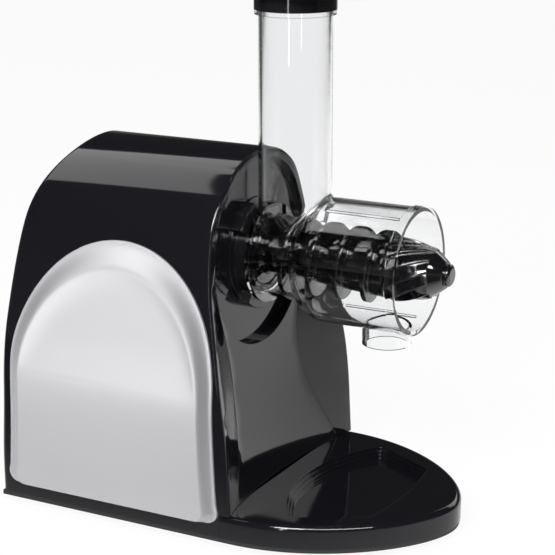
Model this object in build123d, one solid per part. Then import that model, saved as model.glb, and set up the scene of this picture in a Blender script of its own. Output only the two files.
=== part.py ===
from build123d import *
import math
import os

os.makedirs("parts", exist_ok=True)

# A horizontal cold press juicer. The drum axis lies along X, at y = 0 and z = 0, and points out of
# the machine. x = 0 is the rim of the round hub pocket in the housing's front. The user faces -Y.
# On export everything moves so that the origin is the centre of the footprint, on the table.

# ---- Driving sizes, millimetres and degrees ----------------------------------------------------

# Stance
axis_height = 178.0            # table to drum axis
cut_reach = 220.0              # half of a cut that runs past the whole machine
foot_height = 5.0
floor_thickness = 3.0
platform_height = 23.5         # table to the top of the platform

# Housing: a crown arc, two leaning flanks and two upright skirts, swept along X
crown_radius = 70.0
flank_angle = 15.5             # lean of the flank from the vertical
skirt_half_width = 91.3
skirt_blend_radius = 170.0
shell_wall = 3.0
front_edge_radius = 1.6
rear_edge_radius = 5.0
rear_bulge = 6.0
boss_rear_x = -132.0
boss_front_x = -14.0
boss_height = 34.0

# Fascia, the inner panel of the front, with the hub pocket
pocket_radius = 63.6
pocket_depth = 6.2
pocket_wall = 2.0
seam = 0.2
leave_angle = -24.0            # where the fascia's side leaves the pocket's circle
fascia_margin = 1.3            # between the front's crease and the fascia's edge

# Silver side panels
panel_centre_x = -65.6
panel_shoulder_z = -73.5
panel_half_width = 78.75
panel_rise = 89.3              # from the shoulders to the top of the arch
panel_foot_half_width = 82.5
panel_bottom_z = -159.0
panel_corner_radius = 8.0
panel_flange = 1.4
panel_relief = 6.0
panel_slope_width = 10.0
panel_slope_top_width = 17.5
panel_leg_share = 0.26
panel_foot_chamfer = 2.0
panel_wall = 2.4
slope_steps = 40
panel_edge_land = 1.2

# Hub collar and bayonet
collar_radius = 30.0
collar_reach = 5.0             # front face of the collar, ahead of the pocket rim
collar_flange_radius = 36.0
collar_flange_thickness = 1.5
block_radius = 39.0            # outer radius of the collar's three stop blocks
block_front_x = 3.0
block_angle = 35.0
block_first_angle = 40.0       # from up, towards the near side
block_edge_radius = 1.0
bay_radius = 25.6
bay_depth = 11.0
lug_height = 2.4
lug_thickness = 3.4
lug_angle = 20.0
lug_count = 3
lug_play = 2.5                 # degrees at each end of the groove
twist_angle = 30.0
lip_thickness = 4.2

# Drum
spigot_clearance = 0.3
drum_wall = 2.4
drum_flange_radius = 34.0
drum_flange_thickness = 3.0
neck_rear_radius = 29.2
neck_front_radius = 30.6
neck_end_x = 36.0
shoulder_end_x = 52.0
drum_radius = 41.4
rim_band_radius = 42.2
rim_band_width = 6.0
drum_front_x = 115.0
rib_height = 1.1
rib_width = 1.6
rib_angles = (22.5, 91.0, 202.5, 271.0)    # from up, towards the near side
tube_root_radius = 2.0          # fillet between the tube and the neck

# Feed tube
tube_x = 25.0
tube_top_z = 176.0
tube_radius = 24.5
tube_draft = 0.3
tube_wall = 2.4
tube_bead_radius = 26.6
tube_bead_z = 160.0
tube_bead_thickness = 3.0

# Juice outlet
outlet_x = 93.0
outlet_radius = 16.3
outlet_wall = 2.0
outlet_reach = 51.4            # drum axis to the mouth

# Auger
auger_clearance = 0.7
flight_pitch = 19.6
flight_start_x = 9.0
flight_end_x = 95.0
flight_rear_x = 7.5             # where the flight's first turn is cut square
flight_front_radius = 24.2
flight_tip_width = 3.2
flight_root_width = 6.4
flight_top_x = 52.0            # where the flight crosses the top of the core
core_rear_radius = 13.5
core_front_radius = 20.2
cone_start_x = 97.0
cone_start_radius = 21.4
cone_end_x = 126.0
cone_end_radius = 15.9
cone_belly = 0.9               # how far the ribbed cone bulges past a straight one
tooth_count = 12
tooth_depth = 3.0
tooth_front_depth = 1.2
tooth_land_angle = 4.0
tooth_skew = 46.0              # a rib's turn about the axis along the cone
nose_length = 8.0
nose_end_radius = 8.8
pin_radius = 7.3
pin_neck_radius = 6.6
pin_neck_length = 1.0
pin_end_x = 138.0
flange_front_x = 6.0
seal_x = 1.2
seal_width = 2.6
seal_groove_depth = 3.0
auger_hub_radius = 12.0
seal_clearance = 0.1

# Drive
square_side = 9.6
square_clearance = 0.1
square_reach = 8.0
socket_radius = 9.0
shaft_radius = 7.0
running_clearance = 0.05
bush_wall = 3.0
seal_seat_radius = 13.0
seal_seat_depth = 3.2

# Gears: the output wheel turns the auger, the counter gear couples it to the motor pinion
output_teeth = 44
counter_pinion_teeth = 12
output_module = 1.3
counter_teeth = 50
motor_pinion_teeth = 12
counter_module = 1.0
backlash = 0.16
pressure_angle = 20.0
output_gear_width = 10.0
counter_gear_width = 6.0
counter_pin_radius = 3.0
gear_gap = 5.0                 # axial gap between the two gear planes

# Gearbox
case_wall = 2.5
case_plate = 3.0
gear_tip_clearance = 0.8
gearbox_front_x = -24.0
gearbox_depth = 40.0
case_ear_radius = 4.0
case_screw_top = (25.0, 24.5)
case_screw_bottom = (26.0, -52.0)
small_screw_radius = 1.5
small_screw_head_radius = 2.9
small_screw_head_height = 1.8
case_screw_length = 12.0

# Motor
motor_shaft_radius = 3.0
stator_radius = 31.0
stator_length = 30.0
stator_bore = 18.8
stator_slots = 8
stator_slot_width = 5.0
stator_slot_depth = 9.0
stator_flat = 0.8
rotor_clearance = 0.5
coil_length = 7.0
coil_edge_radius = 2.0
bracket_side = 60.0
bracket_thickness = 4.0
bracket_skirt = 10.0
bracket_corner_radius = 8.0
bracket_vent_ring = 13.5
bracket_vent_radius = 4.0
bracket_vents = 6
motor_bolt_offset = 25.0
fan_radius = 25.0
fan_blades = 9
fan_width = 9.0
fan_hub_radius = 7.0
fan_sheet = 1.4
cradle_length = 48.0
cradle_width = 68.0
cradle_plate = 4.0
saddle_width = 40.0
saddle_gap = 16.0
board_rear_x = -142.0
board_sheet = 1.6
board_width = 68.0
board_low_z = -150.0
board_height = 32.0
capacitor_radius = 10.0
capacitor_length = 20.4

# Base
nose_rear_x = 18.0
nose_shoulder_x = 25.5
nose_tip_x = 145.5
nose_side_pull_x = 92.0        # where the side's sweep leaves its straight run
nose_tip_pull_y = 34.5
platform_edge_radius = 4.0
platform_wall = 3.0
gap_to_nose = 0.3
recess_step_count = 3
recess_step_rise = 2.3
recess_step_tread = 1.8
recess_corner_radius = 7.0
recess_rear_x = 34.5
recess_front_x = 109.0
recess_back_corner = (58.5, 71.7)
recess_front_corner = (104.3, 46.5)
platform_boss_front = (112.0, 34.0)
platform_boss_rear = (26.0, 80.0)
foot_rear = (-132.0, 66.0)
foot_front = (98.0, 44.0)
floor_vent_columns = 10
floor_vent_pitch = 8.0
floor_vent_rear_x = -122.0
floor_vent_y = 49.0
floor_vent_length = 22.0
foot_radius = 9.0
foot_stem_radius = 4.0

# Screws
screw_radius = 1.9
screw_head_radius = 3.6
screw_head_height = 2.2
screw_length = 12.0
boss_radius = 5.5

# Switch, gland and tray
switch_z = -95.0
switch_width = 22.0
switch_height = 30.0
rocker_tilt = 12.0
rocker_pin_radius = 1.2
rocker_pivot_depth = 1.5
gland_y = 45.0
gland_z = -150.0
gland_radius = 8.0
gland_flange = 3.0
switch_rim = 3.0               # the seat round the opening
bezel_margin = 2.8
bezel_wall = 2.5
vent_z = -40.0
vent_length = 24.0
vent_width = 3.2
vent_pitch = 9.0
vent_count = 9
cord_bore_radius = 3.6
tray_length = 136.0
tray_width = 96.0
tray_depth = 24.0
tray_wall = 2.5
tray_sleeve = 12.0
tray_sleeve_wall = 2.2
tray_corner_radius = 36.0
tray_flare = 13.0              # how far the rim stands out past the tray's floor
tray_offset = 16.0             # tray centre ahead of the tube
tray_clearance = 0.3

# ---- Sizes that follow -------------------------------------------------------------------------

table_z = -axis_height
floor_bottom = table_z + foot_height
floor_top = floor_bottom + floor_thickness
housing_bottom = floor_top + seam
platform_top = table_z + platform_height
recess_depth = recess_step_count * recess_step_rise
pocket_floor_x = -pocket_depth
bay_back_x = collar_reach - bay_depth
spigot_radius = bay_radius - spigot_clearance
flight_radius = neck_rear_radius - drum_wall - auger_clearance
spigot_bore = spigot_radius - drum_wall
seal_groove_radius = spigot_bore - seal_groove_depth
counter_z = -output_module * (output_teeth + counter_pinion_teeth) / 2
motor_z = counter_z - counter_module * (counter_teeth + motor_pinion_teeth) / 2
gearbox_back_x = gearbox_front_x - gearbox_depth
output_gear_x = gearbox_front_x - case_plate - 3.0 - output_gear_width
counter_gear_x = output_gear_x - gear_gap - counter_gear_width
bush_radius = shaft_radius + bush_wall
cover_back_x = gearbox_back_x - case_plate
motor_front_x = cover_back_x - seam
stator_front_x = motor_front_x - bracket_thickness - bracket_skirt
stator_back_x = stator_front_x - stator_length
motor_back_x = stator_back_x - bracket_skirt - bracket_thickness


# ---- Helpers -----------------------------------------------------------------------------------

def tube_x_axis(x0, x1, radius, bore=0.0, y=0.0, z=0.0):
    """A round bar or ring along X between two x planes."""
    ring = Circle(radius) - Circle(bore) if bore else Circle(radius)
    return extrude(Plane((min(x0, x1), y, z), x_dir=(0, 1, 0), z_dir=(1, 0, 0)) * ring, abs(x1 - x0))


def bar_z(x, y, z0, z1, radius, bore=0.0):
    """A round bar or ring along Z between two heights."""
    ring = Circle(radius) - Circle(bore) if bore else Circle(radius)
    return extrude(Pos(x, y, min(z0, z1)) * ring, abs(z1 - z0))


def box_between(low, high):
    size = [h - l for l, h in zip(low, high)]
    return Pos(*low) * Box(*size, align=(Align.MIN, Align.MIN, Align.MIN))


def turned(points):
    """A body of revolution about X from (x, radius) points."""
    outline = Polyline(*[(x, 0, r) for x, r in points], close=True)
    return revolve(make_face(outline), Axis.X, 360)


def mirrored_y(shape):
    return mirror(shape, about=Plane.XZ)


# ---- Housing form ------------------------------------------------------------------------------

def flank_points(inset=0.0):
    """Where the crown arc, the flank, the lower blend and the skirt meet, as (y, z)."""
    lean = math.radians(flank_angle)
    crown = crown_radius - inset
    blend = skirt_blend_radius - inset
    skirt = skirt_half_width - inset
    top = (crown * math.cos(lean), crown * math.sin(lean))
    low_y = skirt - blend * (1 - math.cos(lean))
    low = (low_y, top[1] - (low_y - top[0]) / math.tan(lean))
    foot = (skirt, low[1] - blend * math.sin(lean))
    return top, low, foot


def half_width(z, inset=0.0):
    """Half the housing's width at a height."""
    top, low, foot = flank_points(inset)
    if z >= top[1]:
        return math.sqrt(max((crown_radius - inset) ** 2 - z * z, 0))
    if z >= low[1]:
        return top[0] + (top[1] - z) * math.tan(math.radians(flank_angle))
    if z >= foot[1]:
        blend = skirt_blend_radius - inset
        return foot[0] - blend + math.sqrt(blend ** 2 - (z - foot[1]) ** 2)
    return foot[0]


def arch_face(inset=0.0, bottom=housing_bottom):
    top, low, foot = flank_points(inset)
    half_lean = math.radians(flank_angle / 2)
    blend = skirt_blend_radius - inset
    middle = (foot[0] - blend * (1 - math.cos(half_lean)), foot[1] + blend * math.sin(half_lean))

    def other(point):
        return (-point[0], point[1])

    edges = [
        ThreePointArc(other(top), (0, crown_radius - inset), top),
        Line(top, low),
        ThreePointArc(low, middle, foot),
        Line(foot, (foot[0], bottom)),
        Line((foot[0], bottom), (-foot[0], bottom)),
        Line((-foot[0], bottom), other(foot)),
        ThreePointArc(other(foot), other(middle), other(low)),
        Line(other(low), other(top)),
    ]
    return Plane.YZ * make_face(edges)


# Level sections of the housing: height, x of the front's side edge, x of its middle, half-width of
# its flat middle, hollow of the middle, x of the rear's side edge
sections = [
    (78.0, 0.0, 0.0, 30.0, 0.0, -113.0),
    (45.0, 0.0, 0.0, 40.0, 0.0, -134.5),
    (15.0, 0.3, 0.0, 58.0, 0.0, -144.0),
    (-20.0, 6.0, 0.0, 60.0, 0.1, -148.0),
    (-50.0, 13.8, 0.0, 49.5, 0.2, -149.5),
    (-80.0, 19.6, 2.0, 45.5, 0.7, -150.3),
    (-115.0, 23.5, 8.5, 53.0, 2.0, -151.8),
    (-150.0, 25.2, 15.6, 71.0, 4.4, -153.3),
    (-185.0, 26.4, 21.0, 86.0, 7.0, -155.0),
]
section_reach = skirt_half_width + 25.0


def plan_face(section, inset=0.0):
    z, edge, middle, crease, hollow, rear = section
    at_crease = middle + hollow
    slope = (edge - at_crease) / (half_width(z) - crease)
    at_reach = at_crease + slope * (section_reach - crease)
    rear = rear + inset
    edges = [
        Bezier((at_crease - inset, -crease), (2 * middle - at_crease - inset, 0),
               (at_crease - inset, crease)),
        Line((at_crease - inset, crease), (at_reach - inset, section_reach)),
        Line((at_reach - inset, section_reach), (rear, section_reach)),
        Bezier((rear, section_reach), (rear - 2 * rear_bulge, 0), (rear, -section_reach)),
        Line((rear, -section_reach), (at_reach - inset, -section_reach)),
        Line((at_reach - inset, -section_reach), (at_crease - inset, -crease)),
    ]
    return Pos(0, 0, z) * make_face(edges)


def housing_block(inset=0.0, bottom=housing_bottom):
    """The housing as a solid: the level sections lofted, inside the swept arch."""
    block = loft([plan_face(section, inset) for section in sections])
    return block & extrude(arch_face(inset, bottom), 220, both=True)


def rounded_housing():
    block = housing_block()

    def on_arch(edge):
        middle = edge @ 0.5
        return edge.length > 3 and abs(abs(middle.Y) - half_width(middle.Z)) < 0.3

    upper = [e for e in block.edges() if on_arch(e) and (e @ 0.5).Z > housing_bottom + 1]
    block = block.fillet(front_edge_radius, [e for e in upper if (e @ 0.5).X > -3])
    upper = [e for e in block.edges() if on_arch(e) and (e @ 0.5).Z > housing_bottom + 1]
    return block.fillet(rear_edge_radius, [e for e in upper if (e @ 0.5).X < -100])


def fascia_outline(offset=0.0):
    """The fascia's edge, as (y, z): the pocket's circle above, a waist and a spread foot below."""
    radius = pocket_radius + pocket_wall + offset
    leave = math.radians(leave_angle)
    start = (radius * math.cos(leave), radius * math.sin(leave))
    heading = (math.sin(leave), -math.cos(leave))
    along = [(section[3] + fascia_margin + offset, section[0]) for section in sections[4:]]
    side = Spline(start, *along, tangents=(heading, (0.3, -1)))
    foot = along[-1]
    arc = ThreePointArc((-start[0], start[1]), (0, radius), start)
    return Plane.YZ * make_face([arc, side, Line(foot, (-foot[0], foot[1])), mirror(side, about=Plane.YZ)])


def nose_outline(offset=0.0):
    """The platform's plan: straight beside the housing, then one round sweep to the tip."""
    shoulder = (nose_shoulder_x, skirt_half_width + offset)
    tip_x = nose_tip_x + offset
    far = Bezier(shoulder, (nose_side_pull_x + 0.4 * offset, shoulder[1]),
                 (tip_x, nose_tip_pull_y + 0.4 * offset), (tip_x, 0))
    rear = nose_rear_x - offset
    return make_face([
        far,
        mirror(far, about=Plane.XZ),
        Polyline((shoulder[0], -shoulder[1]), (rear, -shoulder[1]), (rear, shoulder[1]), shoulder),
    ])


# ---- Housing, fascia and panels ----------------------------------------------------------------

boss_places = [(x, side) for x in (boss_rear_x, boss_front_x) for side in (1, -1)]
boss_y = skirt_half_width - shell_wall - boss_radius + 0.6


def shell_between(outer):
    return outer - housing_block(shell_wall, housing_bottom - 5)


def rear_x(y, z):
    """x of the housing's rear surface, read between the level sections."""
    above = [section for section in sections if section[0] >= z][-1]
    below = [section for section in sections if section[0] < z][0]
    share = (z - below[0]) / (above[0] - below[0])
    return below[5] + share * (above[5] - below[5]) - rear_bulge * (1 - (y / section_reach) ** 2)


switch_seat_x = rear_x(0, switch_z) + 1.0
gland_seat_x = rear_x(gland_y, gland_z) + 0.8


def switch_box(x0, x1, margin):
    """A box round the switch's opening, between two x planes."""
    across = switch_width / 2 + margin
    up = switch_height / 2 + margin
    return box_between((x0, -across, switch_z - up), (x1, across, switch_z + up))


def body_shell(shell):
    cutter = extrude(fascia_outline(seam), 80, both=True) & box_between((-40, -120, -200), (80, 120, 90))
    shell = shell - cutter - tube_x_axis(-40, 20, pocket_radius + pocket_wall + seam)
    shell -= Pos(0, 0, housing_bottom - 5) * extrude(nose_outline(gap_to_nose), platform_top + gap_to_nose
                                                     - housing_bottom + 5)
    for x, side in boss_places:
        shell += bar_z(x, side * boss_y, housing_bottom, housing_bottom + boss_height, boss_radius,
                       screw_radius)
    shell -= switch_box(switch_seat_x - 12, switch_seat_x, switch_rim)
    shell -= switch_box(switch_seat_x - 12, switch_seat_x + 12, 0.0)
    shell -= tube_x_axis(gland_seat_x - 12, gland_seat_x, gland_radius + gland_flange + 0.4,
                         y=gland_y, z=gland_z)
    shell -= tube_x_axis(gland_seat_x - 12, gland_seat_x + 14, gland_radius, y=gland_y, z=gland_z)
    vent = extrude(Plane.YZ * SlotOverall(vent_length, vent_width, rotation=90), 20)
    for k in range(vent_count):
        shell -= Pos(rear_x(0, vent_z) - 10, (k - (vent_count - 1) / 2) * vent_pitch, vent_z) * vent
    return shell


def front_fascia(shell):
    cutter = extrude(fascia_outline(), 80, both=True) & box_between((-6, -120, -200), (80, 120, 90))
    plate = shell & cutter
    plate -= box_between((-40, -120, -200), (80, 120, platform_top + gap_to_nose))
    cup = tube_x_axis(pocket_floor_x - pocket_wall, -shell_wall / 2, pocket_radius + pocket_wall - 0.3)
    plate = plate + cup - tube_x_axis(pocket_floor_x, 20, pocket_radius)
    return plate - tube_x_axis(pocket_floor_x - pocket_wall - 1, 0, collar_radius)


def panel_outline(inset, corner):
    """A side panel's edge, seen from the user's side: half an ellipse on slightly spread legs."""
    half = panel_half_width - inset
    foot = panel_foot_half_width - inset
    drop = panel_shoulder_z - panel_bottom_z - inset
    arch = EllipticalCenterArc((0, 0), half, panel_rise - inset, start_angle=0, arc_size=180)
    leg = TangentArc((half, 0), (foot, -drop), tangent=(0, -1))
    face = make_face([arch, leg, Line((foot, -drop), (-foot, -drop)), mirror(leg, about=Plane.YZ)])
    corners = [v for v in face.vertices() if v.Y < -drop + 1]
    face = fillet(corners, corner)
    return Plane((panel_centre_x, 0, panel_shoulder_z), x_dir=(1, 0, 0), z_dir=(0, -1, 0)) * face


def panel_edge(share):
    """A point on the panel's edge and its outward normal, from the rear foot (0) to the front foot (1)."""
    drop = panel_shoulder_z - panel_bottom_z
    spread = panel_foot_half_width - panel_half_width
    if panel_leg_share <= share <= 1 - panel_leg_share:
        angle = math.pi * (1 - (share - panel_leg_share) / (1 - 2 * panel_leg_share))
        point = (panel_half_width * math.cos(angle), panel_rise * math.sin(angle))
        normal = (math.cos(angle) / panel_half_width, math.sin(angle) / panel_rise)
    else:
        side = -1 if share < 0.5 else 1
        down = (panel_leg_share - min(share, 1 - share)) / panel_leg_share
        point = (side * (panel_half_width + spread * down ** 2), -drop * down)
        normal = (side * drop, 2 * spread * down)
    size = math.hypot(*normal)
    return point, (normal[0] / size, normal[1] / size)


def slope_line(across):
    """A line along the panel's slope, from its foot (across 0) to the raised middle (across 1)."""
    points = []
    for k in range(-2, slope_steps + 3):
        point, normal = panel_edge(k / slope_steps)
        width = panel_slope_width + (panel_slope_top_width - panel_slope_width) * max(normal[1], 0) ** 2
        inset = across * width
        height = panel_flange + (panel_relief - panel_flange) * across
        x = panel_centre_x + point[0] - inset * normal[0]
        z = panel_shoulder_z + point[1] - inset * normal[1]
        points.append((x, -half_width(z, -height), z))
    return Spline(*points)


def side_skin(low, high):
    """The layer between two offsets of the housing's side, on the user's side of the axis."""
    outer = extrude(arch_face(-high), cut_reach, both=True)
    layer = outer - extrude(arch_face(-low, housing_bottom - 5), cut_reach + 10, both=True)
    return layer & box_between((-cut_reach, -140, -axis_height), (cut_reach, -20, 40))


def side_panel():
    """A thin flange on the housing's side and a raised middle, joined by a slope that widens upward."""
    flange = side_skin(0.0, panel_flange) & extrude(panel_outline(0.0, panel_corner_radius), 140)
    land = panel_outline(panel_edge_land, panel_corner_radius - panel_edge_land)
    middle = side_skin(0.0, panel_relief) & extrude(land, 140)
    slope = Face.make_surface_from_curves(slope_line(-0.3), slope_line(1.3))
    body = flange + (middle - extrude(slope, 25, dir=(0, -1, 0)))
    body -= side_skin(-1.0, panel_relief - panel_wall) & extrude(
        panel_outline(panel_slope_top_width + panel_wall, panel_wall), 140)
    foot = [e for e in body.edges() if abs((e @ 0.5).Z - panel_bottom_z - panel_edge_land) < 0.01
            and abs((e @ 0.5).Y + skirt_half_width + panel_relief) < 0.05 and e.length > panel_half_width]
    return body.chamfer(panel_foot_chamfer, None, foot)


# ---- Hub ---------------------------------------------------------------------------------------

def hub_collar():
    flange_x = pocket_floor_x + collar_flange_thickness
    seat_x = bay_back_x - seal_seat_depth
    body = turned([
        (gearbox_front_x, bush_radius), (seat_x - 2, bush_radius), (seat_x - 2, shaft_radius + 0.5),
        (seat_x, shaft_radius + 0.5), (seat_x, seal_seat_radius), (bay_back_x, seal_seat_radius),
        (bay_back_x, bay_radius), (collar_reach, bay_radius), (collar_reach, collar_radius),
        (flange_x, collar_radius), (flange_x, collar_flange_radius), (pocket_floor_x, collar_flange_radius),
        (pocket_floor_x, collar_radius - seam), (gearbox_front_x, collar_radius - seam),
    ])
    groove_front = collar_reach - lip_thickness
    groove_rear = groove_front - lug_thickness - 0.6
    groove_radius = bay_radius + lug_height
    groove = tube_x_axis(groove_rear, groove_front, groove_radius, bay_radius - 1)
    slot = tube_x_axis(groove_rear, collar_reach + 1, groove_radius, bay_radius - 1)
    for k in range(lug_count):
        body -= slot & wedge(lug_place(k) - twist_angle, lug_angle + 2 * lug_play)
        body -= groove & wedge(lug_place(k) - twist_angle / 2, lug_angle + twist_angle + 2 * lug_play)
        body += stop_block(k)
    return body


def stop_block(k):
    """One of the blocks round the collar that the drum's flange turns against."""
    middle = (pocket_floor_x + block_front_x) / 2
    ring = tube_x_axis(pocket_floor_x, block_front_x, block_radius, collar_radius - 1.0)
    block = ring & wedge(block_first_angle + k * 360.0 / lug_count, block_angle)
    outer = [e for e in block.edges() if math.hypot((e @ 0.5).Y, (e @ 0.5).Z) > block_radius - 0.5
             and (e @ 0.5).X > middle]
    return block.fillet(block_edge_radius, outer)


def lug_place(k):
    """A lug's angle about the drum axis, from up, positive towards the near side."""
    return 60.0 + k * 360.0 / lug_count


def wedge(angle, spread):
    """A sector about the X axis, to cut one stretch from a ring."""
    reach = 60.0
    a, b = math.radians(angle - spread / 2), math.radians(angle + spread / 2)
    points = [(0, 0)] + [(-reach * math.sin(t), reach * math.cos(t)) for t in (a, (a + b) / 2, b)]
    return extrude(Plane.YZ * make_face(Polyline(*points, close=True)), 60, both=True)


def shaft_seal():
    front = bay_back_x - 0.2
    rear = bay_back_x - seal_seat_depth
    inner = shaft_radius + running_clearance
    return turned([(rear, inner + 1.2), (rear + 1.0, inner), (front, inner), (front, inner + 1.0),
                   (rear + 1.4, inner + 2.4), (front, inner + 3.6), (front, seal_seat_radius),
                   (rear, seal_seat_radius)])


# ---- Drive train -------------------------------------------------------------------------------

def drive_shaft():
    bar = tube_x_axis(cover_back_x, bay_back_x - 0.1, shaft_radius)
    square = extrude(Plane.YZ * Rectangle(square_side, square_side), square_reach - bay_back_x + 0.1)
    return bar + Pos(bay_back_x - 0.1, 0, 0) * square


def gear_face(teeth, module, tooth_up):
    """A spur gear's outline in the YZ plane, with involute flanks, one tooth or gap pointing up."""
    pitch = module * teeth / 2
    base = pitch * math.cos(math.radians(pressure_angle))
    tip = pitch + 0.9 * module
    root = pitch - 1.2 * module

    def involute(radius):
        angle = math.acos(min(1.0, base / max(radius, base)))
        return math.tan(angle) - angle

    half_pitch_tooth = (math.pi * module / 2 - backlash) / 2 / pitch
    radii = [root, max(base, root + 0.05), pitch, tip]
    flank = [(r, half_pitch_tooth + involute(pitch) - involute(r)) for r in radii]
    points = []
    for k in range(teeth):
        middle = 2 * math.pi * (k + (0 if tooth_up else 0.5)) / teeth
        rising = [(r, middle - half) for r, half in flank]
        falling = [(r, middle + half) for r, half in reversed(flank)]
        points += [(r * math.sin(t), r * math.cos(t)) for r, t in rising + falling]
    return Plane.YZ * make_face(Polyline(*points, close=True))


def gear(x, z, width, teeth, module, bore, tooth_up):
    wheel = Pos(x, 0, z) * extrude(gear_face(teeth, module, tooth_up), width)
    return wheel - tube_x_axis(x - 1, x + width + 1, bore, z=z)


def output_gear():
    wheel = gear(output_gear_x, 0, output_gear_width, output_teeth, output_module, shaft_radius, True)
    rim = output_module * output_teeth / 2 - 6.0
    dish = tube_x_axis(0, 3, rim, shaft_radius + 5.0)
    return wheel - Pos(output_gear_x, 0, 0) * dish - Pos(output_gear_x + output_gear_width - 3, 0, 0) * dish


def counter_gear():
    bore = counter_pin_radius + running_clearance
    pinion = gear(counter_gear_x, counter_z, output_gear_x + output_gear_width - counter_gear_x,
                  counter_pinion_teeth, output_module, bore, False)
    wheel = gear(counter_gear_x, counter_z, counter_gear_width, counter_teeth, counter_module, bore, True)
    return pinion + wheel


def counter_pin():
    return tube_x_axis(gearbox_back_x, gearbox_front_x - case_plate, counter_pin_radius, z=counter_z)


def motor_pinion():
    return gear(counter_gear_x - 1, motor_z, counter_gear_width + 2, motor_pinion_teeth, counter_module,
                motor_shaft_radius, False)


def bush(x0, x1):
    return tube_x_axis(x0, x1, bush_radius, shaft_radius + running_clearance)


def gearbox_outline(inset=0.0):
    """A hull round the three gear centres, as seen along the axis."""
    def tip(teeth, module):
        return module * teeth / 2 + 0.9 * module + gear_tip_clearance + case_wall - inset

    centres = [(0, tip(output_teeth, output_module)), (counter_z, tip(counter_teeth, counter_module)),
               (motor_z, tip(motor_pinion_teeth, counter_module) + 3)]
    edges = [(Pos(0, z) * Circle(radius)).edge() for z, radius in centres]
    return Plane.YZ * make_hull(edges)


def gearbox_screw_places():
    return [(side * y, z) for y, z in (case_screw_top, case_screw_bottom) for side in (1, -1)]


def gearbox_case():
    hollow = Pos(gearbox_back_x, 0, 0) * extrude(gearbox_outline(case_wall), gearbox_depth - case_plate)
    body = Pos(gearbox_back_x, 0, 0) * extrude(gearbox_outline(), gearbox_depth) - hollow
    for y, z in gearbox_screw_places():
        body += tube_x_axis(gearbox_back_x, gearbox_front_x, case_ear_radius, y=y, z=z) - hollow
        body -= tube_x_axis(gearbox_back_x - 1, gearbox_back_x + case_screw_length, small_screw_radius,
                            y=y, z=z)
    return body - tube_x_axis(gearbox_front_x - 4, gearbox_front_x + 1, shaft_radius + 0.5)


def gearbox_cover():
    plate = extrude(gearbox_outline(), case_plate)
    for y, z in gearbox_screw_places():
        plate += tube_x_axis(0, case_plate, case_ear_radius, y=y, z=z)
        plate -= tube_x_axis(-1, case_plate + 1, small_screw_radius + 0.1, y=y, z=z)
        plate -= tube_x_axis(-1, small_screw_head_height, small_screw_head_radius + 0.2, y=y, z=z)
    plate -= tube_x_axis(-1, case_plate + 1, bush_radius)
    plate -= tube_x_axis(-1, case_plate + 1, motor_shaft_radius + 1.0, z=motor_z)
    return Pos(cover_back_x, 0, 0) * plate


def screw_x(x, y, z, length):
    """A small pan-head screw along +X, its head behind x."""
    shank = tube_x_axis(x, x + length, small_screw_radius, y=y, z=z)
    head = tube_x_axis(x - small_screw_head_height, x, small_screw_head_radius, y=y, z=z)
    return head - slot_cross(x - small_screw_head_height, y, z) + shank


def slot_cross(x, y, z):
    bar = extrude(Plane.YZ * (Rectangle(3.2, 0.8) + Rectangle(0.8, 3.2)), 1.0)
    return Pos(x, y, z) * bar


def gearbox_screws():
    seat_x = cover_back_x + small_screw_head_height
    return Compound([screw_x(seat_x, y, z, case_screw_length) for y, z in gearbox_screw_places()])


# ---- Motor -------------------------------------------------------------------------------------

def motor_rotor():
    return tube_x_axis(stator_back_x - 2, stator_front_x + 2, stator_bore - rotor_clearance,
                       motor_shaft_radius, z=motor_z)


def motor_shaft():
    return tube_x_axis(motor_back_x - fan_width - 4, counter_gear_x + counter_gear_width + 2,
                       motor_shaft_radius, z=motor_z)


def motor_stator():
    stack = tube_x_axis(stator_back_x, stator_front_x, stator_radius, stator_bore, z=motor_z)
    slot = box_between((stator_back_x - 1, -stator_slot_width / 2, stator_bore - 2),
                       (stator_front_x + 1, stator_slot_width / 2, stator_bore + stator_slot_depth))
    flat = box_between((stator_back_x - 1, -16, stator_radius - stator_flat),
                       (stator_front_x + 1, 16, stator_radius + 9))
    for k in range(stator_slots):
        stack -= Pos(0, 0, motor_z) * Rot(360 / stator_slots * (k + 0.5), 0, 0) * slot
    for k in range(4):
        stack -= Pos(0, 0, motor_z) * Rot(90 * k + 45, 0, 0) * flat
    return stack


def field_coils():
    def end_turn(x, way):
        ring = tube_x_axis(x, x + way * coil_length, stator_radius - 4.0, stator_bore + 0.8, z=motor_z)
        rims = ring.edges().filter_by(GeomType.CIRCLE).group_by(Axis.X)
        return ring.fillet(coil_edge_radius, rims[-1 if way > 0 else 0])

    return Compound([end_turn(stator_front_x, 1), end_turn(stator_back_x, -1)])


def motor_bracket(x, way):
    """A square end bracket whose skirt holds the stator; way is +1 where the skirt points to +X."""
    plate = Plane.YZ * RectangleRounded(bracket_side, bracket_side, bracket_corner_radius)
    body = Pos(min(x, x + way * bracket_thickness), 0, motor_z) * extrude(plate, bracket_thickness)
    body += tube_x_axis(x, x + way * (bracket_thickness + bracket_skirt), stator_radius, stator_radius - 3,
                        z=motor_z)
    body -= tube_x_axis(x - 20, x + 20, motor_shaft_radius + running_clearance, z=motor_z)
    for k in range(4):
        y, z = motor_bolt(k)
        body -= tube_x_axis(x - 20, x + 20, small_screw_radius + 0.1, y=y, z=z)
    for k in range(bracket_vents):
        turn = 2 * math.pi * (k + 0.5) / bracket_vents
        y, z = bracket_vent_ring * math.sin(turn), motor_z + bracket_vent_ring * math.cos(turn)
        body -= tube_x_axis(x - way, x + way * (bracket_thickness + 1), bracket_vent_radius, y=y, z=z)
    return body


def motor_bolt(k):
    return ((motor_bolt_offset, -motor_bolt_offset)[k % 2],
            motor_z + (motor_bolt_offset, -motor_bolt_offset)[k // 2])


def motor_screws():
    length = motor_front_x - motor_back_x
    return Compound([screw_x(motor_back_x, *motor_bolt(k), length) for k in range(4)])


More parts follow.
